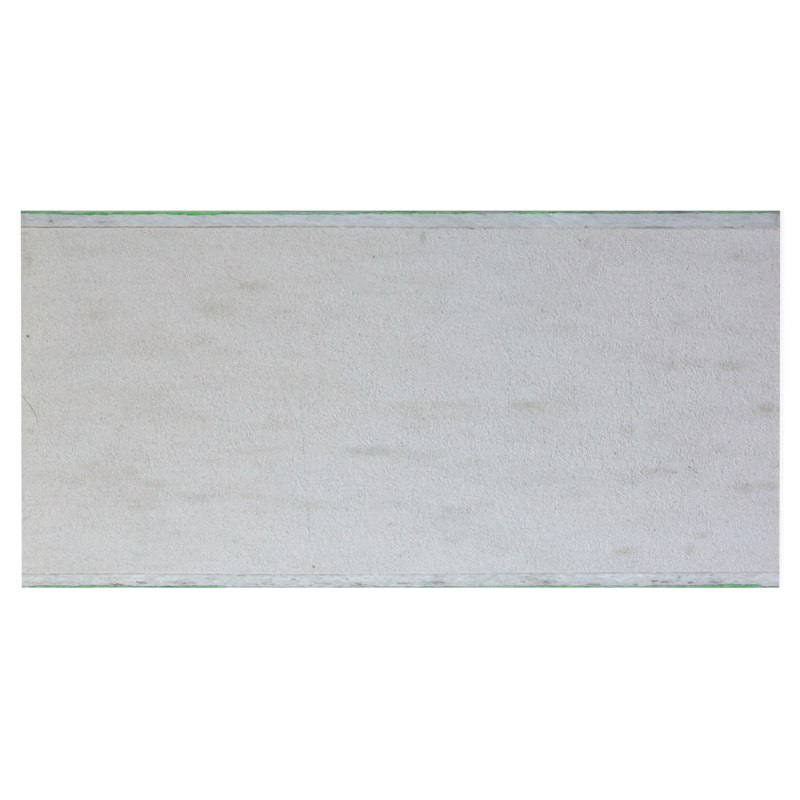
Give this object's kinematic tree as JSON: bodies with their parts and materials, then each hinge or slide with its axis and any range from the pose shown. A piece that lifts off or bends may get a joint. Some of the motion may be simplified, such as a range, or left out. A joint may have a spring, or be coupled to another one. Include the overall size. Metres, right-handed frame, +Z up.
{
  "type": "micro concrete panel",
  "caption": "Flat micro concrete board for lining walls and floors, with smooth tapered jointing bands, rounded green-painted long edges and square sawn ends.",
  "frame": {"origin": "under the middle of the board, on its underside", "axes": "+X along the length, +Y across the width towards the long edge with the wider band, +Z up out of the finished face"},
  "size_m": [2.44, 1.22, 0.0125],
  "materials": {
    "micro_concrete": "matte pale grey cement, with green paint on the long edges"
  },
  "bodies": {
    "root": {"panel": "micro_concrete"}
  },
  "joints": []
}
